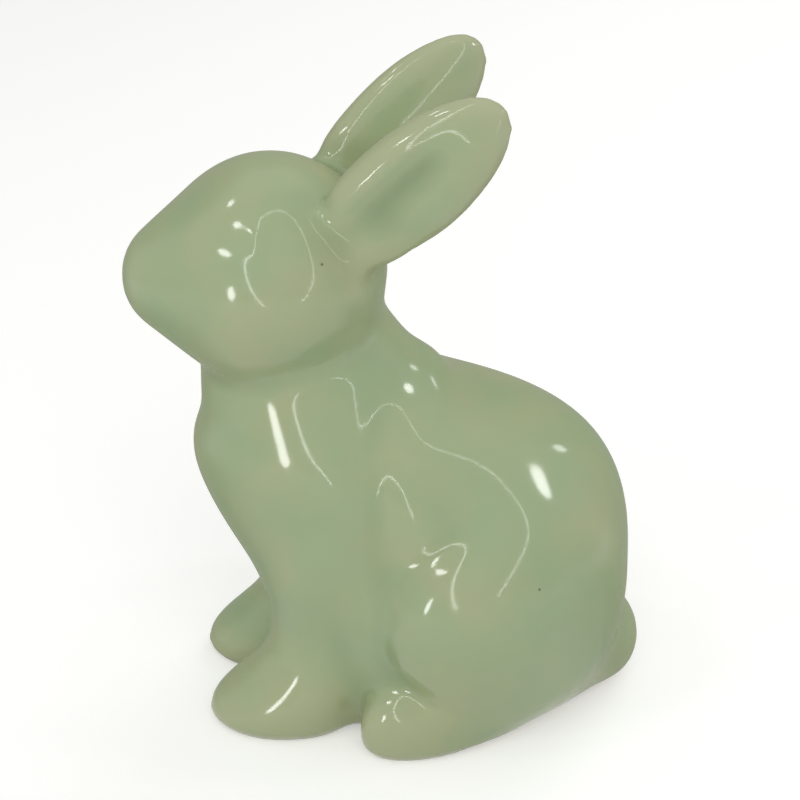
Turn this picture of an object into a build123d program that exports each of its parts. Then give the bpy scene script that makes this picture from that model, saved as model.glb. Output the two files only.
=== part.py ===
from build123d import *
from math import asin, degrees
import os

# Seated rabbit ornament, slip cast in pale clay and glazed all over.
# Millimetres, +Z up, nose towards -Y, the rabbit's left side towards +X.
# Each clay piece is cast alone and luted to its neighbour, so a piece is
# trimmed by the outer form of whatever it is stuck to.

# Torso casting
torso_length = 76.0
torso_width = 52.0
torso_height = 72.0
wall = 4.0
pour_hole_diameter = 22.0
vent_diameter = 3.0
neck_hole_diameter = 12.0
cut_overrun = 5.0

# Head casting: a skull ball and a nose ball inside one cone
skull_diameter = 39.6
nose_diameter = 20.4
nose_to_skull = 14.6
skull_forward = 3.6
skull_rise = 10.7
nose_droop = 1.5

# Ears
ear_length = 43.0
ear_width = 18.0
ear_thickness = 8.0
ear_lean = 44.0
ear_splay = 12.5

# Forelegs and paws
foreleg_height = 40.0
foreleg_width = 21.0
paw_spacing = 22.0
paw_length = 28.0
paw_forward = 28.0

# Haunches, hind feet and tail
haunch_length = 42.0
haunch_height = 39.0
haunch_bulge = 24.0
haunch_proud = 5.6
haunch_back = 18.3
haunch_rise = 26.0
haunch_turn = 16.0
foot_length = 35.0
foot_width = 16.0
foot_height = 25.0
foot_rise = 5.0
foot_proud = 1.6
foot_back = 10.2
foot_turn = 20.0
tail_length = 20.0
tail_width = 25.0
tail_height = 18.0
tail_proud = 3.0
tail_rise = 7.5

# Buried end of an ear, from the skull's centre: aside, behind and above,
# as shares of the skull's radius
ear_root_shares = (0.49, 0.35, 0.20)
# Torso ribs, floor to neck: front y and z, back y and z, and width,
# as shares of the torso's length, height and width
torso_rib_shares = [
    (-0.21, 0.00, 0.48, 0.00, 0.80),
    (-0.23, 0.10, 0.55, 0.10, 0.95),
    (-0.26, 0.25, 0.575, 0.26, 1.02),
    (-0.32, 0.39, 0.58, 0.43, 1.02),
    (-0.39, 0.53, 0.54, 0.61, 0.96),
    (-0.435, 0.65, 0.445, 0.735, 0.89),
    (-0.44, 0.75, 0.27, 0.82, 0.80),
    (-0.42, 0.85, 0.08, 0.93, 0.65),
    (-0.36, 0.97, -0.06, 1.07, 0.50),
]
# Foreleg ribs, floor to shoulder: height, front, back, width and spacing,
# as shares of the foreleg's height, the paw's length, the foreleg's width
# and the paws' spacing
foreleg_rib_shares = [
    (0.00, -0.50, 0.47, 0.90, 1.00),
    (0.10, -0.52, 0.52, 1.00, 1.00),
    (0.24, -0.32, 0.54, 0.96, 1.00),
    (0.38, -0.16, 0.55, 0.86, 1.00),
    (0.62, -0.12, 0.55, 0.86, 1.02),
    (1.00, 0.04, 0.50, 0.56, 0.86),
]


def oval(front, back, half_width):
    """Ellipse across the body, its long axis running from front to back."""
    along = back - front
    plane = Plane((front + back) / 2, x_dir=along, z_dir=Vector(1, 0, 0).cross(along))
    return plane * scale(Circle(1), by=(along.length / 2, half_width, 1))


def ball(length, width, height):
    """Ellipsoid about the origin: width along X, length along Y, height along Z."""
    return scale(Sphere(1), by=(width / 2, length / 2, height / 2))


def above_floor(form):
    return split(form, Plane.XY, keep=Keep.TOP)


def torso_ribs():
    """Front point, back point and half width of each rib, floor to neck."""
    return [
        (
            Vector(0, front_y * torso_length, front_z * torso_height),
            Vector(0, back_y * torso_length, back_z * torso_height),
            width * torso_width / 2,
        )
        for front_y, front_z, back_y, back_z, width in torso_rib_shares
    ]


def torso_form():
    return loft([oval(*rib) for rib in torso_ribs()])


def torso_cavity():
    """Inside of the cast wall, which also closes the bottom and the neck."""
    ribs = torso_ribs()
    lifts = [0.0] * len(ribs)
    lifts[0] = wall
    lifts[-1] = -wall
    sections = []
    for (front, back, half_width), lift in zip(ribs, lifts):
        inward = (back - front).normalized() * wall
        upward = Vector(0, 0, lift)
        sections.append(oval(front + inward + upward, back - inward + upward, half_width - wall))
    return loft(sections)


def base_centre():
    front, back, _ = torso_ribs()[0]
    return (front + back) / 2


def base_hole(diameter):
    """Cutter for a round hole up through the floor of the torso."""
    return Pos(base_centre()) * Cylinder(diameter / 2, 2 * (wall + cut_overrun))


def neck_hole():
    """Cutter for the air passage from the torso up into the head."""
    front, back, _ = torso_ribs()[-1]
    return Pos((front + back) / 2) * Cylinder(neck_hole_diameter / 2, 2 * (wall + cut_overrun))


def pour_hole_disc():
    seat = (Align.CENTER, Align.CENTER, Align.MIN)
    disc = Pos(base_centre()) * Cylinder(pour_hole_diameter / 2, wall, align=seat)
    return disc - base_hole(vent_diameter)


def skull_centre():
    front, back, _ = torso_ribs()[-1]
    return (front + back) / 2 + Vector(0, -skull_forward, skull_rise)


def head_form(inset=0.0):
    """Skull ball and nose ball joined by the cone that touches both."""
    skull_radius = skull_diameter / 2 - inset
    nose_radius = nose_diameter / 2 - inset
    slope = degrees(asin((skull_radius - nose_radius) / nose_to_skull))
    nose = CenterArc((-nose_to_skull, 0), nose_radius, 180, slope - 90)
    skull = CenterArc((0, 0), skull_radius, 90 + slope, -90 - slope)
    bridge = Line(nose @ 1, skull @ 0)
    axis = Line(skull @ 1, nose @ 0)
    egg = revolve(make_face(nose + bridge + skull + axis), Axis.X)
    return Pos(skull_centre()) * Rot(nose_droop, 0, 0) * Rot(0, 0, 90) * egg


def ear_form():
    """Left ear: a flattened leaf rooted in the skull, leaning back and outwards."""
    aside, behind, above = ear_root_shares
    root = skull_centre() + Vector(aside, behind, above) * (skull_diameter / 2)
    leaf = Pos(0, ear_length / 2, 0) * ball(ear_length, ear_thickness, ear_width)
    return Pos(root) * Rot(0, 0, -ear_splay) * Rot(ear_lean, 0, 0) * leaf


def foreleg_form():
    """Left foreleg, its paw on the floor and its top buried in the chest."""
    stand = base_centre().Y - paw_forward
    ribs = []
    for rise, front, back, width, spacing in foreleg_rib_shares:
        x = spacing * paw_spacing / 2
        z = rise * foreleg_height
        toe = Vector(x, stand + front * paw_length, z)
        heel = Vector(x, stand + back * paw_length, z)
        ribs.append(oval(toe, heel, width * foreleg_width / 2))
    return loft(ribs)


def haunch_form():
    """Left haunch: a pad standing a little proud of the flank."""
    x = torso_width / 2 + haunch_proud - haunch_bulge / 2
    pad = ball(haunch_length, haunch_bulge, haunch_height)
    return Pos(x, haunch_back, haunch_rise) * Rot(0, 0, haunch_turn) * pad


def foot_form():
    """Left hind foot, showing below and in front of the haunch."""
    x = torso_width / 2 + foot_proud - foot_width / 2
    foot = ball(foot_length, foot_width, foot_height)
    return Pos(x, foot_back, foot_rise) * Rot(0, 0, foot_turn) * foot


def tail_form():
    rump = max(back.Y for _, back, _ in torso_ribs())
    y = rump + tail_proud - tail_length / 2
    return Pos(0, y, tail_rise) * ball(tail_length, tail_width, tail_height)


def middle_pieces():
    torso = torso_form()
    hollow = torso_cavity() + base_hole(pour_hole_diameter) + neck_hole()
    return {
        "torso_shell": torso - hollow,
        "pour_hole_disc": pour_hole_disc(),
        "head_shell": head_form() - head_form(wall) - torso,
        "tail": above_floor(tail_form() - torso),
    }


def left_pieces():
    torso = torso_form()
    foreleg = foreleg_form()
    haunch = haunch_form()
    return {
        "ear": ear_form() - head_form(),
        "foreleg": above_floor(foreleg - torso),
        "haunch": above_floor(haunch - torso),
        "hind_foot": above_floor(foot_form() - haunch - torso - foreleg),
    }


pieces = middle_pieces()
for name, piece in left_pieces().items():
    pieces[f"left_{name}"] = piece
    pieces[f"right_{name}"] = mirror(piece, about=Plane.YZ)

# The origin is the middle of the whole rabbit's box, on the floor
middle = Compound(list(pieces.values())).bounding_box().center().Y
os.makedirs("parts", exist_ok=True)
for name, piece in pieces.items():
    export_step(Pos(0, -middle, 0) * piece, f"parts/{name}.step")
    print(name, "solids", len(piece.solids()), "volume", round(piece.volume))
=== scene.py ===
# %% [markdown]
# # A glazed ceramic rabbit
# The rabbit is cast in clay pieces, luted together with slip, fired, dipped in
# a pale green celadon glaze and fired again. The clay pieces come from the
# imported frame. Here they get what slip and glaze give them: one continuous skin
# with soft joints, a colour that follows the depth of the glaze, and a wet gloss.

# %% Load the frame
import bpy, bmesh, math
import numpy as np
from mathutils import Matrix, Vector
from mathutils.kdtree import KDTree
from mathutils.bvhtree import BVHTree


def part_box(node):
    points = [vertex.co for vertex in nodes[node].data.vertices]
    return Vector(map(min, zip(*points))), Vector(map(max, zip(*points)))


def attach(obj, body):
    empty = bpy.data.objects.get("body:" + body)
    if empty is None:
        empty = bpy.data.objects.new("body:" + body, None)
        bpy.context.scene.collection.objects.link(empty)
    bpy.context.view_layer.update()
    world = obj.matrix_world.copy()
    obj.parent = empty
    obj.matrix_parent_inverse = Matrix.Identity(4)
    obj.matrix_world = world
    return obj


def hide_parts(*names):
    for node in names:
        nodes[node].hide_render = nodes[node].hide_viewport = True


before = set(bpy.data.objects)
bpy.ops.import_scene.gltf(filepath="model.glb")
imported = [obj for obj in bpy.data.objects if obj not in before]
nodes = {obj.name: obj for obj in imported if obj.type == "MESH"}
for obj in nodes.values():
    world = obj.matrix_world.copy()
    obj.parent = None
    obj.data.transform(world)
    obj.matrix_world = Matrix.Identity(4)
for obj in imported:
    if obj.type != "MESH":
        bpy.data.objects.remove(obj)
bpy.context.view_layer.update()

MM = 0.001
clay = sorted(name for name in nodes if name != "pour_hole_disc")
print("clay pieces", len(clay))

# %% [markdown]
# ## The joints between the clay pieces
# On the real rabbit slip and glaze fill each joint, some more than others: the
# rear of the thigh melts into the flank, while the foot keeps a crisp crease in
# front. To soften a joint we first have to know where it is. It could be drawn by
# hand, but then it would not follow a change of the clay. A piece's mesh was
# trimmed by its neighbour, so the joint is found as the ring of edges between its
# buried faces and its open ones.

# %% Find a joint
WELD = 0.001 * MM
JOINT_STEP = 0.5 * MM
TOUCH = 0.03 * MM


def merged(name):
    """A copy of a node's mesh with its loose triangles joined at the corners."""
    bm = bmesh.new()
    bm.from_mesh(nodes[name].data)
    bmesh.ops.remove_doubles(bm, verts=bm.verts, dist=WELD)
    return bm


def joint_points(piece, neighbour):
    """Points along the edge where a piece meets its neighbour."""
    bm, other = merged(piece), merged(neighbour)
    wall = BVHTree.FromBMesh(other)
    buried = {f for f in bm.faces if wall.find_nearest(f.calc_center_median())[3] < TOUCH}
    points = []
    for edge in bm.edges:
        if len(edge.link_faces) == 2 and sum(f in buried for f in edge.link_faces) == 1:
            start, end = (v.co.copy() for v in edge.verts)
            count = max(1, round((end - start).length / JOINT_STEP))
            points += [start.lerp(end, i / count) for i in range(count + 1)]
    bm.free()
    other.free()
    return points


# %% List the joints
# piece, neighbour, then for the joint's front half and for its rear half how far
# the softening spreads and how much slip fills it, all in millimetres; a fill
# below nought is a groove
joints = [
    ("head_shell", "torso_shell", (1.8, 0.0), (3.6, 0.2)),
    ("tail", "torso_shell", (4.2, 2.4), (2.2, 0.3)),
]
for side in ("left", "right"):
    joints += [
        (f"{side}_ear", "head_shell", (1.6, -0.5), (2.2, -0.2)),
        (f"{side}_foreleg", "torso_shell", (3.0, 1.0), (2.4, 0.0)),
        (f"{side}_haunch", "torso_shell", (1.5, 0.0), (4.5, 3.0)),
        (f"{side}_hind_foot", f"{side}_haunch", (0.9, 0.0), (3.0, 1.6)),
        (f"{side}_hind_foot", "torso_shell", (1.4, 0.0), (3.0, 1.0)),
        (f"{side}_hind_foot", f"{side}_foreleg", (1.0, 0.0), (1.0, 0.0)),
    ]
joint_lines = []
for piece, neighbour, front, rear in joints:
    points = joint_points(piece, neighbour)
    if points:
        halfway = (min(p.y for p in points) + max(p.y for p in points)) / 2
        joint_lines.append(([p for p in points if p.y <= halfway], *front))
        joint_lines.append(([p for p in points if p.y > halfway], *rear))
    print(piece, "on", neighbour, "joint points", len(points))

# %% [markdown]
# ## One skin over all the pieces
# Fired glaze runs over the whole rabbit without a break. A boolean union could
# join the pieces, but it leaves thin triangles along each joint, which don't
# smooth well. Instead the pieces, which only touch, are gathered into one object
# with a plug in the pouring hole, and a voxel remesh wraps them in one closed skin
# of even squares. It fills the hollow inside, which nobody sees once the hole is
# closed.

# %% Helpers that make objects
def add_object(name, data):
    obj = bpy.data.objects.new(name, data)
    bpy.context.scene.collection.objects.link(obj)
    return obj


def object_from(bm, name):
    """Turns a mesh in the making into an object."""
    mesh = bpy.data.meshes.new(name)
    bm.to_mesh(mesh)
    bm.free()
    return add_object(name, mesh)


def add_cylinder(bm, middle, radius, depth, sides):
    """Adds a closed upright cylinder to a mesh in the making."""
    made = bmesh.ops.create_cone(
        bm, cap_ends=True, segments=sides, radius1=radius, radius2=radius, depth=depth)
    bmesh.ops.translate(bm, verts=made["verts"], vec=middle)


def baked(obj):
    """Turns an object and its modifiers into a plain mesh and drops the modifiers."""
    shape = obj.evaluated_get(bpy.context.evaluated_depsgraph_get())
    mesh = bpy.data.meshes.new_from_object(shape)
    obj.modifiers.clear()
    obj.data = mesh


# %% Wrap the pieces
VOXEL = 0.62 * MM
PLUG_SIDES = 96
gathered = bmesh.new()
for name in clay:
    bm = merged(name)
    copy = bpy.data.meshes.new(name + "_copy")
    bm.to_mesh(copy)
    gathered.from_mesh(copy)
    bm.free()
hole_low, hole_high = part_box("pour_hole_disc")
hole_middle = (hole_low + hole_high) / 2
hole_radius = (hole_high.x - hole_low.x) / 2
# the plug is a voxel wider than the hole, so that no gap is left around it
add_cylinder(gathered, hole_middle, hole_radius + VOXEL, hole_high.z - hole_low.z, PLUG_SIDES)
skin = object_from(gathered, "glazed_skin")
wrap = skin.modifiers.new("wrap", "REMESH")
wrap.mode, wrap.voxel_size, wrap.use_smooth_shade = "VOXEL", VOXEL, True
baked(skin)
print("skin vertices", len(skin.data.vertices))

# %% [markdown]
# ## The glaze
# Celadon is a clear glaze stained by a little iron. Thick, it is green; thin, it
# lets the warm clay show. A render could send light into a layer of real
# thickness, but the exported model would lose it. So the colour follows the depth
# of the glaze, which is measured on the mesh later and read here as an attribute,
# in millimetres. In the hollows of the ears a painted shade is added to that depth,
# so there the darker green is partly pooled glaze and partly painted shade. Soft
# clouds come from noise on Object coordinates, which stays put on the rabbit. Two
# pinholes, where bubbles burst in the kiln, are specks around two points that are
# set once the skin is done.

# %% Colours and nodes
def colour(code):
    """An sRGB hex value as the linear colour that a shader wants."""
    parts = [int(code[i:i + 2], 16) / 255 for i in (1, 3, 5)]
    return [c / 12.92 if c <= 0.04045 else ((c + 0.055) / 1.055) ** 2.4 for c in parts] + [1.0]


def add(tree, kind, links={}, **settings):
    """Adds a node, sets it up, and links or fills its inputs."""
    node = tree.nodes.new(kind)
    for key, value in settings.items():
        setattr(node, key, value)
    for key, source in links.items():
        if isinstance(source, bpy.types.NodeSocket):
            tree.links.new(source, node.inputs[key])
        else:
            node.inputs[key].default_value = source
    return node


def new_material(name):
    material = bpy.data.materials.new(name)
    material.use_nodes = True
    material.node_tree.nodes.clear()
    return material, material.node_tree


# A Mix node has sockets of the same name for every kind of value, so those for
# colours go by number.
FACTOR, FIRST, SECOND, MIXED = 0, 6, 7, 2
print("middle grey in linear light", round(colour("#808080")[0], 3))

# %% Celadon glaze, dipped and fired to a wet gloss
# To the eye it is a soft grey green with faint clouds, greener and darker where it
# is deep, paler and warmer on the ridges. Its surface is fired glass, so it gives
# clear reflections, which a shallow ripple bends a little.
CLOUD = 16 * MM
CLOUD_FROM, CLOUD_TO = 0.3, 0.7
POOLED_FROM_MM, POOLED_TO_MM = 0.05, 1.5
WORN_FROM_MM, WORN_TO_MM = -0.4, -1.5
PINHOLE_RIM, PINHOLE_CORE = 0.35 * MM, 0.1 * MM
PINHOLES_MM = [(16.3, -12.9, 92.0), (25.6, 21.2, 34.6)]
RIPPLE, RIPPLE_DEPTH = 5 * MM, 0.02 * MM
glaze, tree = new_material("celadon_glaze_dipped")
where = add(tree, "ShaderNodeTexCoord").outputs["Object"]
depth = add(tree, "ShaderNodeAttribute", attribute_name="glaze_depth_and_groove_shade").outputs["Fac"]
cloud = add(tree, "ShaderNodeTexNoise", {"Vector": where, "Scale": 1 / CLOUD, "Detail": 2.0})
clouds = add(tree, "ShaderNodeMapRange", {
    "Value": cloud.outputs["Fac"], "From Min": CLOUD_FROM, "From Max": CLOUD_TO})
body = add(tree, "ShaderNodeMix", {
    FACTOR: clouds.outputs[0], FIRST: colour("#9AAE86"), SECOND: colour("#A8B087")}, data_type="RGBA")
# deep glaze is greener and darker; in the ear hollows part of this darkening is painted shade
pooled_and_shaded = add(tree, "ShaderNodeMapRange", {
    "Value": depth, "From Min": POOLED_FROM_MM, "From Max": POOLED_TO_MM})
green = add(tree, "ShaderNodeMix", {
    FACTOR: pooled_and_shaded.outputs[0], FIRST: body.outputs[MIXED], SECOND: colour("#7B9269")}, data_type="RGBA")
worn = add(tree, "ShaderNodeMapRange", {
    "Value": depth, "From Min": WORN_FROM_MM, "From Max": WORN_TO_MM})
warm = add(tree, "ShaderNodeMix", {
    FACTOR: worn.outputs[0], FIRST: green.outputs[MIXED], SECOND: colour("#AEB48F")}, data_type="RGBA")
shade = warm.outputs[MIXED]
pinholes = []
for _ in PINHOLES_MM:
    apart = add(tree, "ShaderNodeVectorMath", {0: where}, operation="DISTANCE")
    speck = add(tree, "ShaderNodeMapRange", {
        "Value": apart.outputs["Value"], "From Min": PINHOLE_RIM, "From Max": PINHOLE_CORE})
    dark = add(tree, "ShaderNodeMix", {
        FACTOR: speck.outputs[0], FIRST: shade, SECOND: colour("#5C6A49")}, data_type="RGBA")
    shade = dark.outputs[MIXED]
    pinholes.append(apart.inputs[1])
wave = add(tree, "ShaderNodeTexNoise", {"Vector": where, "Scale": 1 / RIPPLE, "Detail": 1.0})
ripple = add(tree, "ShaderNodeBump", {
    "Height": wave.outputs["Fac"], "Strength": 1.0, "Distance": RIPPLE_DEPTH})
shine = add(tree, "ShaderNodeBsdfPrincipled", {
    "Base Color": shade, "Roughness": 0.1, "IOR": 1.5, "Normal": ripple.outputs[0]})
add(tree, "ShaderNodeOutputMaterial", {"Surface": shine.outputs[0]})
print("material", glaze.name, "nodes", len(tree.nodes))

# %% [markdown]
# ## The bare foot's clay
# The foot was wiped clean before firing, because glaze would stick it to the
# kiln shelf. It shows the bare fired clay, called bisque. A plain matt colour
# would look like plastic, so one noise gives it both its speckle and its tooth.

# %% Bisque, wiped bare and matt
# To the eye it is dry and creamy, with a fine grain and no shine. The real grain is
# about 0.1 mm, which is too fine to show, so it is drawn coarser than real.
GRAIN, TOOTH_DEPTH = 0.8 * MM, 0.1 * MM
bisque, tree = new_material("bisque_clay_wiped")
where = add(tree, "ShaderNodeTexCoord").outputs["Object"]
grain = add(tree, "ShaderNodeTexNoise", {"Vector": where, "Scale": 1 / GRAIN, "Detail": 3.0})
speckle = add(tree, "ShaderNodeMix", {
    FACTOR: grain.outputs["Fac"], FIRST: colour("#CDBFA6"), SECOND: colour("#E2D8C4")}, data_type="RGBA")
tooth = add(tree, "ShaderNodeBump", {
    "Height": grain.outputs["Fac"], "Strength": 0.6, "Distance": TOOTH_DEPTH})
matt = add(tree, "ShaderNodeBsdfPrincipled", {
    "Base Color": speckle.outputs[MIXED], "Roughness": 0.85, "Normal": tooth.outputs[0]})
add(tree, "ShaderNodeOutputMaterial", {"Surface": matt.outputs[0]})
print("material", bisque.name, "nodes", len(tree.nodes))

# %% [markdown]
# ## Modelled details
# Each ear has a hollow down its outer face under a slight rim. The brow and the
# roots of the ears are pressed in a little, the nape and the knees stand out a
# little, and a slight dip parts the shoulder from the flank. They could be sculpted
# by hand, but a script repeats better. All are small, smooth and fixed in place, so
# they are made by moving the skin's points along their normals by a bell-shaped
# amount.

# %% Helpers that move the skin
def points_of(mesh):
    co = np.empty(len(mesh.vertices) * 3, np.float32)
    mesh.vertices.foreach_get("co", co)
    return co.reshape(-1, 3).astype(float)


def normals_of(mesh):
    no = np.empty(len(mesh.vertices) * 3, np.float32)
    mesh.vertex_normals.foreach_get("vector", no)
    return no.reshape(-1, 3).astype(float)


def put(points):
    """Puts the skin's points at these places."""
    skin.data.vertices.foreach_set("co", points.astype(np.float32).ravel())
    skin.data.update()


def raise_by(amount):
    """Moves the skin's points out along their normals by so much each."""
    put(points_of(skin.data) + normals_of(skin.data) * amount[:, None])


def bell(distance, width):
    return np.exp(-(distance / width) ** 2)


def between(values, low, high, fade):
    """1 between low and high, with a soft fall to 0 at both."""
    return 1 / (1 + np.exp((values - high) / fade)) / (1 + np.exp((low - values) / fade))


def ear_axes(name):
    """Middle, tip direction, width direction and outward direction of an ear node."""
    bm = merged(name)
    centres = np.array([f.calc_center_median() for f in bm.faces])
    areas = np.array([f.calc_area() for f in bm.faces])
    bm.free()
    middle = np.average(centres, axis=0, weights=areas)
    spread = np.cov((centres - middle).T, aweights=areas)
    _, axes = np.linalg.eigh(spread)
    out, across, along = axes.T
    along *= np.sign(along[2])
    across *= np.sign(across[2])
    out *= np.sign(out[0] * middle[0])
    return middle, along, across, out


# %% Hollow the ears
# The groove is steep above its deepest line and gentle below it. A weight is
# kept of where the glaze will run together in it; it also darkens the groove
# later as a painted shade.
GROOVE_DEPTH, GROOVE_ABOVE, STEEP, GENTLE = 2.0 * MM, 1.6 * MM, 2.6 * MM, 6.5 * MM
POOL_AND_SHADE_BELOW = 2 * STEEP
RIM_HEIGHT, RIM_WIDTH, RIM_ABOVE = 0.6 * MM, 1.8 * MM, 6.2 * MM
GROOVE_START, GROOVE_END, GROOVE_FADE = -12 * MM, 8 * MM, 2.2 * MM
EAR_ROOT, EAR_HALF_WIDE, EAR_HALF_THICK = -21 * MM, 12 * MM, 6 * MM
FACING_FROM, FACING_RANGE = 0.2, 0.5
hollow_pool_and_shade = np.zeros(len(skin.data.vertices))
for side in ("left", "right"):
    points, normals = points_of(skin.data), normals_of(skin.data)
    middle, along, across, out = ear_axes(f"{side}_ear")
    reach, height, proud = ((points - middle) @ axis for axis in (along, across, out))
    facing = np.clip((normals @ out - FACING_FROM) / FACING_RANGE, 0, 1)
    open_part = between(reach, GROOVE_START, GROOVE_END, GROOVE_FADE)
    inside = ((reach > EAR_ROOT) & (np.abs(height) < EAR_HALF_WIDE)
              & (proud > 0) & (proud < EAR_HALF_THICK))
    upper = height > GROOVE_ABOVE
    rim = RIM_HEIGHT * bell(height - RIM_ABOVE, RIM_WIDTH)
    groove = GROOVE_DEPTH * bell(height - GROOVE_ABOVE, np.where(upper, STEEP, GENTLE))
    raise_by((rim - groove) * facing * open_part * inside)
    # where glaze pools in the groove, and where painted shade will darken it
    pool_and_shade = bell(height - GROOVE_ABOVE, np.where(upper, STEEP, POOL_AND_SHADE_BELOW))
    hollow_pool_and_shade += pool_and_shade * facing * open_part * inside
    print(side, "ear, points on its outer face", int(inside.sum()))

# %% Press in and fill out the soft forms
# place on the left, mirrored to the right, how far out, and how broad, long and
# tall, all in millimetres
soft_forms = [
    ("brow", (0.0, -35.0, 103.5), -1.2, (8.0, 8.0, 8.0)),
    ("nape", (0.0, 7.5, 66.8), 2.0, (10.0, 4.2, 4.2)),
    ("knee", (28.3, 12.5, 40.0), 0.9, (6.0, 6.0, 6.0)),
    ("ear root", (15.0, 0.0, 95.2), -1.1, (4.5, 4.5, 4.5)),
]
for name, place, out, size in soft_forms:
    points = points_of(skin.data)
    points[:, 0] = np.abs(points[:, 0])
    apart = np.linalg.norm((points / MM - np.array(place)) / np.array(size), axis=1)
    raise_by(out * MM * bell(apart, 1))
    print(name, "moved out by", out, "mm")

# %% Dip the flanks
# The dip runs up the side, and above its bend it slants back.
DIP_DEPTH, DIP_WIDTH, DIP_Y, DIP_SLANT = 1.7 * MM, 4.2 * MM, -5.0 * MM, 0.2
DIP_LOW, DIP_HIGH, DIP_FADE, DIP_BEND = 32 * MM, 65 * MM, 2.5 * MM, 57 * MM
points, normals = points_of(skin.data), normals_of(skin.data)
span = between(points[:, 2], DIP_LOW, DIP_HIGH, DIP_FADE)
dip_line = DIP_Y + DIP_SLANT * np.maximum(points[:, 2] - DIP_BEND, 0)
raise_by(-DIP_DEPTH * bell(points[:, 1] - dip_line, DIP_WIDTH) * span * np.abs(normals[:, 0]))
print("dip between shoulder and flank", DIP_DEPTH / MM, "mm")

# %% [markdown]
# ## Softening the joints and measuring the glaze
# Slip rounds off every joint, and the glaze then runs off the ridges and gathers
# in the creases. A bevel could round the edges, but it can't follow a joint that
# turns from soft to crisp. So slip is laid on by moving the points near a joint
# outwards, and a geometry node tree does the rest. Blur Attribute on the position
# relaxes the skin, and its weight, read from the mesh, says where: strong along a
# soft joint, nothing away from it. An even blur then polishes off the voxel steps.
# It also shrinks every edge a little, so what a second blur takes away is put
# back. The skin is moved out by the thickness of the glaze, except at the foot.
# Last, a wide blur is compared with the surface: where it lies outside, the
# place is a crease and the glaze is deep, and where inside, a ridge. In the ear
# hollows a painted shade is added to that depth.

# %% Fill the joints, and say how much each point may relax
# In each round a point goes a share of the way to the middle of its four
# neighbours, a voxel away. After all rounds that spreads a corner over the voxel
# times the root of half the share times the rounds, so a spread gives the share.
# Blur Attribute wants it as a neighbour's weight, where the point's own is 1.
ROUNDS = 200
MOST_SHARE = 0.9
SOFT_REACH, FILL_REACH = 1.7, 1.3
CLEAR = 2 * MM
points = points_of(skin.data)
luting, fill = np.zeros(len(points)), np.zeros(len(points))
for line, spread, slip in joint_lines:
    tree_of_points = KDTree(len(line))
    for i, p in enumerate(line):
        tree_of_points.insert(p, i)
    tree_of_points.balance()
    distance = np.array([tree_of_points.find(p)[2] for p in points])
    most = min(MOST_SHARE, 2 * (spread * MM / VOXEL) ** 2 / ROUNDS)
    share = most * bell(distance, SOFT_REACH * spread * MM)
    luting = np.maximum(luting, share / (4 * (1 - share)))
    amount = slip * MM * bell(distance, FILL_REACH * spread * MM)
    fill = np.where(np.abs(amount) > np.abs(fill), amount, fill)
# no slip at the foot, which stays flat
raise_by(fill * np.clip((points[:, 2] - CLEAR) / CLEAR, 0, 1))
# the ear grooves' weight carries their pooled glaze and their painted shade
for name, values in (("luting", luting), ("hollow_pool_and_shade", hollow_pool_and_shade)):
    attribute = skin.data.attributes.new(name, "FLOAT", "POINT")
    attribute.data.foreach_set("value", values.astype(np.float32))
print("most slip in mm", round(fill.max() / MM, 1), "most luting", round(luting.max(), 2))

# %% The tree and its inputs
# Lengths in metres, but the glaze and the painted shade in the ear hollows are in
# the millimetres that the depth of the glaze is stored in.
SIZES = {
    "Joint rounds": ROUNDS, "Polish rounds": 20, "Depth rounds": 80,
    "Glaze thickness": 0.25 * MM, "Glaze and painted shade in hollows": 0.7,
    "Bare below": 0.3 * MM, "Coated above": 2.0 * MM}
relax = bpy.data.node_groups.new("relax_and_measure", "GeometryNodeTree")
relax.interface.new_socket("Skin", in_out="INPUT", socket_type="NodeSocketGeometry")
for name, value in SIZES.items():
    kind = "NodeSocketInt" if isinstance(value, int) else "NodeSocketFloat"
    relax.interface.new_socket(name, in_out="INPUT", socket_type=kind)
relax.interface.new_socket("Skin", in_out="OUTPUT", socket_type="NodeSocketGeometry")
given = add(relax, "NodeGroupInput")
place = add(relax, "GeometryNodeInputPosition").outputs[0]
normal = add(relax, "GeometryNodeInputNormal").outputs[0]
level = add(relax, "ShaderNodeSeparateXYZ", {0: place})
off_floor = add(relax, "ShaderNodeMapRange", {
    "Value": level.outputs["Z"], "From Min": given.outputs["Bare below"],
    "From Max": given.outputs["Coated above"]}).outputs[0]
print("tree", relax.name, "inputs", list(SIZES))

# %% Relax and polish
weight = add(relax, "GeometryNodeInputNamedAttribute", {"Name": "luting"}, data_type="FLOAT")
soft = add(relax, "GeometryNodeBlurAttribute", {
    "Value": place, "Iterations": given.outputs["Joint rounds"], "Weight": weight.outputs[0]},
    data_type="FLOAT_VECTOR")
softened = add(relax, "GeometryNodeSetPosition", {
    "Geometry": given.outputs["Skin"], "Position": soft.outputs[0]})
even = add(relax, "GeometryNodeBlurAttribute", {
    "Value": place, "Iterations": given.outputs["Polish rounds"]}, data_type="FLOAT_VECTOR")
polished = add(relax, "GeometryNodeSetPosition", {
    "Geometry": softened.outputs[0], "Position": even.outputs[0]})
lost = add(relax, "ShaderNodeVectorMath", {0: place, 1: even.outputs[0]}, operation="SUBTRACT")
put_back = add(relax, "ShaderNodeVectorMath", {
    0: lost.outputs[0], "Scale": off_floor}, operation="SCALE")
restored = add(relax, "GeometryNodeSetPosition", {
    "Geometry": polished.outputs[0], "Offset": put_back.outputs[0]})

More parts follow.
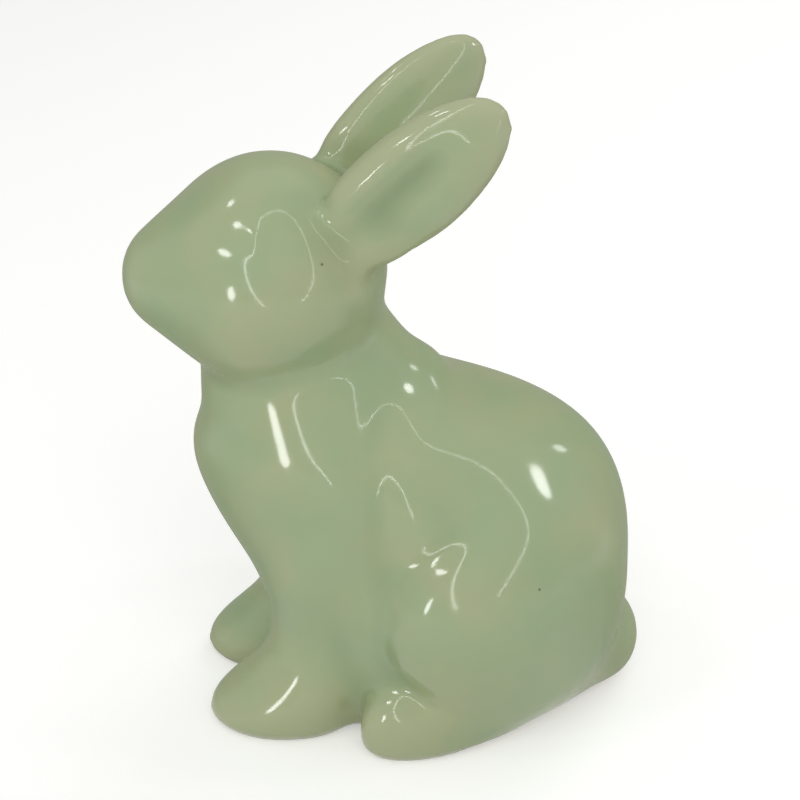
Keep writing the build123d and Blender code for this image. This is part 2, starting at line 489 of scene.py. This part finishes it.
# %% Coat, measure and colour
dipped = add(relax, "ShaderNodeMath", {
    0: off_floor, 1: given.outputs["Glaze thickness"]}, operation="MULTIPLY")
coat = add(relax, "ShaderNodeVectorMath", {0: normal, "Scale": dipped.outputs[0]}, operation="SCALE")
covered = add(relax, "GeometryNodeSetPosition", {
    "Geometry": restored.outputs[0], "Offset": coat.outputs[0]})
wide = add(relax, "GeometryNodeBlurAttribute", {
    "Value": place, "Iterations": given.outputs["Depth rounds"]}, data_type="FLOAT_VECTOR")
gap = add(relax, "ShaderNodeVectorMath", {0: wide.outputs[0], 1: place}, operation="SUBTRACT")
rise = add(relax, "ShaderNodeVectorMath", {0: gap.outputs[0], 1: normal}, operation="DOT_PRODUCT")
in_mm = add(relax, "ShaderNodeMath", {0: rise.outputs["Value"], 1: 1 / MM}, operation="MULTIPLY")
# in the ear hollows a painted shade is added to the measured depth, along with the glaze that runs
# together there
hollows = add(relax, "GeometryNodeInputNamedAttribute", {"Name": "hollow_pool_and_shade"}, data_type="FLOAT")
run_in_and_painted_shade = add(relax, "ShaderNodeMath", {
    0: hollows.outputs[0], 1: given.outputs["Glaze and painted shade in hollows"], 2: in_mm.outputs[0]},
    operation="MULTIPLY_ADD")
stored = add(relax, "GeometryNodeStoreNamedAttribute", {
    "Geometry": covered.outputs[0], "Name": "glaze_depth_and_groove_shade", "Value": run_in_and_painted_shade.outputs[0]},
    data_type="FLOAT", domain="POINT")
real = add(relax, "GeometryNodeRealizeInstances", {"Geometry": stored.outputs[0]})
coated = add(relax, "GeometryNodeSetMaterial", {"Geometry": real.outputs[0], "Material": glaze})
add(relax, "NodeGroupOutput", {"Skin": coated.outputs[0]})
print("tree", relax.name, "nodes", len(relax.nodes))

# %% Run the tree on the skin
relaxing = skin.modifiers.new("relax", "NODES")
relaxing.node_group = relax
for item in relax.interface.items_tree:
    if item.in_out == "INPUT" and item.name in SIZES:
        relaxing[item.identifier] = SIZES[item.name]
baked(skin)
depths = np.empty(len(skin.data.vertices), np.float32)
skin.data.attributes["glaze_depth_and_groove_shade"].data.foreach_get("value", depths)
print("glaze depth in mm, low to high", np.percentile(depths, [1, 25, 50, 75, 99]).round(2))

# %% [markdown]
# ## The eyes
# Each cheek carries only a faint raised eye under the glaze, with no paint. It
# could be a piece of its own, but it has no edge of its own. It is raised on the
# skin like the other details, only now, because the polish would have flattened
# so small a form.

# %% Raise the eyes
EYE_Y, EYE_Z, EYE_ASIDE = -23.0 * MM, 96.3 * MM, 8 * MM
EYE_HEIGHT, EYE_LONG, EYE_TALL = 0.35 * MM, 1.5 * MM, 1.9 * MM
points = points_of(skin.data)
eye = bell((points[:, 1] - EYE_Y) / EYE_LONG, 1) * bell((points[:, 2] - EYE_Z) / EYE_TALL, 1)
raise_by(EYE_HEIGHT * eye * (np.abs(points[:, 0]) > EYE_ASIDE))
print("eyes raised by", EYE_HEIGHT / MM, "mm")

# %% [markdown]
# ## The foot
# Underneath, the clay is bare: the rabbit stands on a flat wiped foot, with the
# disc that closes the pouring hole set into it. The blurs leave the foot a little
# uneven, so it is pressed level, as on the potter's board. The disc is a CAD piece
# and stays as it is. A boolean cuts a pocket for it, a hair wider so that the
# luting line shows, and the flat underside gets the bisque.

# %% Level the foot
LEVEL_BELOW, FREE_ABOVE = 0.3 * MM, 0.9 * MM
points = points_of(skin.data)
points[:, 2] *= np.clip((points[:, 2] - LEVEL_BELOW) / (FREE_ABOVE - LEVEL_BELOW), 0, 1)
put(points)
print("points on the level foot", int((points[:, 2] == 0).sum()))

# %% Cut the pocket
SEAM = 0.15 * MM
POCKET_SIDES = 128
bm = bmesh.new()
add_cylinder(bm, (hole_middle.x, hole_middle.y, 0), hole_radius + SEAM,
             2 * (hole_high.z + SEAM), POCKET_SIDES)
pocket = object_from(bm, "pocket")
carve = skin.modifiers.new("pocket", "BOOLEAN")
carve.operation, carve.object, carve.solver = "DIFFERENCE", pocket, "EXACT"
baked(skin)
bpy.data.objects.remove(pocket)
print("skin triangles", sum(len(f.vertices) - 2 for f in skin.data.polygons))

# %% Bare the foot
FACING_DOWN, FOOT_TOP = -0.8, 4.5 * MM
skin.data.materials.clear()
skin.data.materials.append(glaze)
skin.data.materials.append(bisque)
for face in skin.data.polygons:
    face.use_smooth = True
    face.material_index = int(face.normal.z < FACING_DOWN and face.center.z < FOOT_TOP)
disc = nodes["pour_hole_disc"]
disc.data.materials.clear()
disc.data.materials.append(bisque)
print("bare faces", sum(face.material_index for face in skin.data.polygons))

# %% Place the pinholes and hand the skin over
surface = BVHTree.FromPolygons(
    [v.co for v in skin.data.vertices], [f.vertices for f in skin.data.polygons])
for socket, place in zip(pinholes, PINHOLES_MM):
    socket.default_value = surface.find_nearest(Vector(place) * MM)[0]
    print("pinhole at", [round(v / MM, 1) for v in socket.default_value])
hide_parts(*clay)
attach(skin, "root")

# %% [markdown]
# ## The camera
# The camera stands where the photographer stood: on the rabbit's left, a little
# in front and above, close enough for some perspective. It could be framed with a
# lens shift, but a shift stays on in other views, so the camera looks a little
# aside of the rabbit's middle instead.

# %% Camera
AZIMUTH, ELEVATION, DISTANCE = math.radians(85), math.radians(28), 380 * MM
LENS_PIXELS, FRAME_PIXELS, ASIDE_PIXELS = 2155, 800, 15
SENSOR = 36
MIDDLE = Vector((0, -1.4 * MM, 58 * MM))
back = Vector((math.sin(AZIMUTH) * math.cos(ELEVATION),
               -math.cos(AZIMUTH) * math.cos(ELEVATION), math.sin(ELEVATION)))
right = Vector((math.cos(AZIMUTH), math.sin(AZIMUTH), 0))
up = back.cross(right)
aim = MIDDLE + right * (ASIDE_PIXELS / LENS_PIXELS * DISTANCE)
lens = bpy.data.cameras.new("camera")
lens.sensor_width, lens.lens = SENSOR, SENSOR * LENS_PIXELS / FRAME_PIXELS
camera = add_object("camera", lens)
camera.location = aim + back * DISTANCE
camera.rotation_euler = (-back).to_track_quat("-Z", "Y").to_euler()
bpy.context.scene.camera = camera
print("camera at, in mm", [round(v / MM) for v in camera.location])

# %% [markdown]
# ## Floor and room
# The rabbit stands on white paper in a pale room. More light would whiten the
# paper, but also the rabbit. So the paper glows, and the room looks brighter than
# it lights, only for what the camera and reflections see. The soft shadow stays.
# The floor lies a hair above the foot and is clear from below, so that a view from
# there finds the foot lit.

# %% Floor
# To the eye it is plain matt paper, nearly white, with a soft shadow on it.
FLOOR_LIFT, FLOOR_HALF, FLOOR_GLOW = 0.03 * MM, 3.0, 0.38


def seen(tree):
    """1 for a ray from the camera, a reflection or a clear piece, 0 for light."""
    path = add(tree, "ShaderNodeLightPath")
    plain = add(tree, "ShaderNodeMath", {
        0: path.outputs["Is Camera Ray"], 1: path.outputs["Is Glossy Ray"]}, operation="MAXIMUM")
    clear = add(tree, "ShaderNodeMath", {
        0: plain.outputs[0], 1: path.outputs["Is Transmission Ray"]}, operation="MAXIMUM")
    return clear.outputs[0]


white, tree = new_material("white_paper_floor")
lift = add(tree, "ShaderNodeMath", {0: seen(tree), 1: FLOOR_GLOW}, operation="MULTIPLY")
paper = add(tree, "ShaderNodeBsdfDiffuse", {"Color": colour("#E2E2DF")})
glow = add(tree, "ShaderNodeEmission", {"Strength": lift.outputs[0]})
both = add(tree, "ShaderNodeAddShader", {0: paper.outputs[0], 1: glow.outputs[0]})
below = add(tree, "ShaderNodeNewGeometry").outputs["Backfacing"]
clear = add(tree, "ShaderNodeBsdfTransparent").outputs[0]
sheet = add(tree, "ShaderNodeMixShader", {0: below, 1: both.outputs[0], 2: clear})
add(tree, "ShaderNodeOutputMaterial", {"Surface": sheet.outputs[0]})
bm = bmesh.new()
bmesh.ops.create_grid(bm, x_segments=1, y_segments=1, size=FLOOR_HALF)
floor = object_from(bm, "floor")
floor.location.z = FLOOR_LIFT
floor.data.materials.append(white)
print("floor", 2 * FLOOR_HALF, "m wide, lifted by", FLOOR_LIFT / MM, "mm")

# %% Room
ROOM_LIGHT, ROOM_SEEN = 0.48, 0.8
world = bpy.data.worlds.new("studio")
bpy.context.scene.world = world
world.use_nodes = True
tree = world.node_tree
tree.nodes.clear()
strength = add(tree, "ShaderNodeMapRange", {
    "Value": seen(tree), "To Min": ROOM_LIGHT, "To Max": ROOM_SEEN})
sky = add(tree, "ShaderNodeBackground", {
    "Color": colour("#FFFFFF"), "Strength": strength.outputs[0]})
add(tree, "ShaderNodeOutputWorld", {"Surface": sky.outputs[0]})
print("room lights with", ROOM_LIGHT, "and is seen at", ROOM_SEEN)

# %% [markdown]
# ## The lamps
# Gloss shows the lamps as shapes, so their shapes matter. Highlights in the
# picture stand in columns left and right of each round form: four oval lamps on
# the left and two on the right draw them. Point lamps would give dots of no size.
# Each lamp is placed by the way to it from the rabbit: right, up and towards the
# camera. Two wide lights give the soft light from the front and from above, and
# reflections don't see them.

# %% Lamps
NEAR, FAR = 0.5, 0.7
# name, way to it, distance, width and height in metres, brightness
softboxes = [
    ("left_softbox", (-0.64, 0.23, 0.73), NEAR, 0.12, 0.04, 14),
    ("left_upper_softbox", (-0.47, 0.61, 0.64), NEAR, 0.06, 0.045, 14),
    ("left_top_softbox", (-0.52, 0.82, 0.25), NEAR, 0.06, 0.04, 11),
    ("left_lower_softbox", (-0.57, -0.36, 0.74), NEAR, 0.055, 0.11, 14),
    ("right_softbox", (0.82, 0.48, 0.29), NEAR, 0.06, 0.07, 14),
    ("right_rear_softbox", (0.83, 0.55, -0.06), NEAR, 0.04, 0.06, 11),
]
wide_lights = [
    ("front_light", (0.1, 0.3, 0.95), FAR, 0.5, 0.5, 2.1),
    ("top_light", (0.45, 0.85, -0.25), FAR, 0.5, 0.5, 1.6),
]


def add_lamp(name, way, distance, width, height, brightness):
    """An oval lamp that faces the rabbit, as bright per area as so many whites."""
    light = bpy.data.lights.new(name, "AREA")
    light.shape, light.size, light.size_y = "ELLIPSE", width, height
    light.energy = brightness * math.pi * (math.pi / 4 * width * height)
    to_right, upwards, to_camera = way
    direction = (right * to_right + up * upwards + back * to_camera).normalized()
    lamp = add_object(name, light)
    lamp.location = aim + direction * distance
    lamp.rotation_euler = (-direction).to_track_quat("-Z", "Y").to_euler()
    return lamp


for row in softboxes:
    add_lamp(*row)
for row in wide_lights:
    add_lamp(*row).visible_glossy = False
print("lamps", [row[0] for row in softboxes + wide_lights])

# %% [markdown]
# ## The ring of light
# Fine loops in the reflections show a thin ring of light around the camera, open
# at the bottom. A ring lamp could stand there, but it would light the rabbit as
# well. So it is a strip of mesh that only reflections see.

# %% Ring
# To the eye it is a thin bright line, drawn as a loop on each round form.
RING_AWAY, RING_STRIP, RING_GLOW = 0.35, 0.010, 11.0
# left, right, lowest and highest edge as angles from the rabbit, and the turns
# between which it is open, all in degrees
RING_ANGLES = (-23, 45, -42, 54)
OPEN_FROM, OPEN_TO, RING_STEP = -60, -115, 5
ring_light, tree = new_material("ring_lamp_strip")
glow = add(tree, "ShaderNodeEmission", {"Strength": RING_GLOW})
add(tree, "ShaderNodeOutputMaterial", {"Surface": glow.outputs[0]})
ring_left, ring_right, ring_low, ring_high = (
    RING_AWAY * math.tan(math.radians(angle)) for angle in RING_ANGLES)
ring_middle = (aim + back * RING_AWAY + right * (ring_left + ring_right) / 2
               + up * (ring_low + ring_high) / 2)
half_wide, half_tall = (ring_right - ring_left) / 2, (ring_high - ring_low) / 2
bm = bmesh.new()
rails = []
for degrees in range(OPEN_FROM, OPEN_TO + 361, RING_STEP):
    turn = math.radians(degrees)
    rails.append([
        bm.verts.new(ring_middle + right * math.cos(turn) * (half_wide + edge)
                     + up * math.sin(turn) * (half_tall + edge))
        for edge in (-RING_STRIP / 2, RING_STRIP / 2)])
for (a, b), (c, d) in zip(rails, rails[1:]):
    bm.faces.new((a, c, d, b))
ring = object_from(bm, "ring_lamp")
ring.data.materials.append(ring_light)
print("ring in mm", round(2 * half_wide / MM), "by", round(2 * half_tall / MM))

# %% [markdown]
# ## The grey card
# A glossy form mirrors the room behind it along its edges, and a pale room would
# draw a white rim there, which the photograph doesn't show. Photographers stand a
# grey card there. This one lies on the floor around the rabbit and rises behind
# it, and thins out to its ends and its top, so that no edge of it shows. Only
# reflections see it.

# %% Card
# To the eye it is a soft grey green along the edges of the glaze.
# distance, height, thickness and sweep in degrees, from its near edge to its top
CARD_STEPS = [
    (0.02, 0.0005, 1.0, 240), (0.12, 0.0005, 1.0, 240), (0.25, 0.0005, 1.0, 160),
    (0.25, 0.25, 1.0, 160), (0.25, 0.40, 0.0, 160)]
WIDEST = max(sweep for _, _, _, sweep in CARD_STEPS)
CARD_TURN = 10
# full thickness over the middle three quarters of the sweep
CARD_FADE = 2.5
card_grey, tree = new_material("grey_card")
dim = add(tree, "ShaderNodeEmission", {"Color": colour("#A2A596")})
thick = add(tree, "ShaderNodeAttribute", attribute_name="thick").outputs["Fac"]
clear = add(tree, "ShaderNodeBsdfTransparent").outputs[0]
gauze = add(tree, "ShaderNodeMixShader", {0: thick, 1: clear, 2: dim.outputs[0]})
add(tree, "ShaderNodeOutputMaterial", {"Surface": gauze.outputs[0]})
bm = bmesh.new()
thickness = bm.verts.layers.float.new("thick")
posts = []
for degrees in range(-WIDEST // 2, WIDEST // 2 + 1, CARD_TURN):
    turn = math.radians(degrees)
    outwards = right * math.sin(turn) - Vector((back.x, back.y, 0)).normalized() * math.cos(turn)
    post = []
    for away, height, share, sweep in CARD_STEPS:
        post.append(bm.verts.new(outwards * away + Vector((0, 0, height))))
        off_middle = min(math.pi / 2, abs(turn) * 180 / sweep)
        post[-1][thickness] = share * min(1, CARD_FADE * math.cos(off_middle))
    posts.append(post)
for post, following in zip(posts, posts[1:]):
    for i in range(len(CARD_STEPS) - 1):
        bm.faces.new((post[i], following[i], following[i + 1], post[i + 1]))
card = object_from(bm, "grey_card")
card.data.materials.append(card_grey)
for prop in (ring, card):
    prop.visible_camera = prop.visible_diffuse = False
    prop.visible_shadow = prop.visible_transmission = False
print("card faces", len(card.data.polygons))

# %% [markdown]
# ## Colours as written
# The glaze has to stay as thin as glaze. The view transform is Standard, so
# colours show as they are written.

# %% Show colours as written
bpy.context.scene.view_settings.view_transform = "Standard"
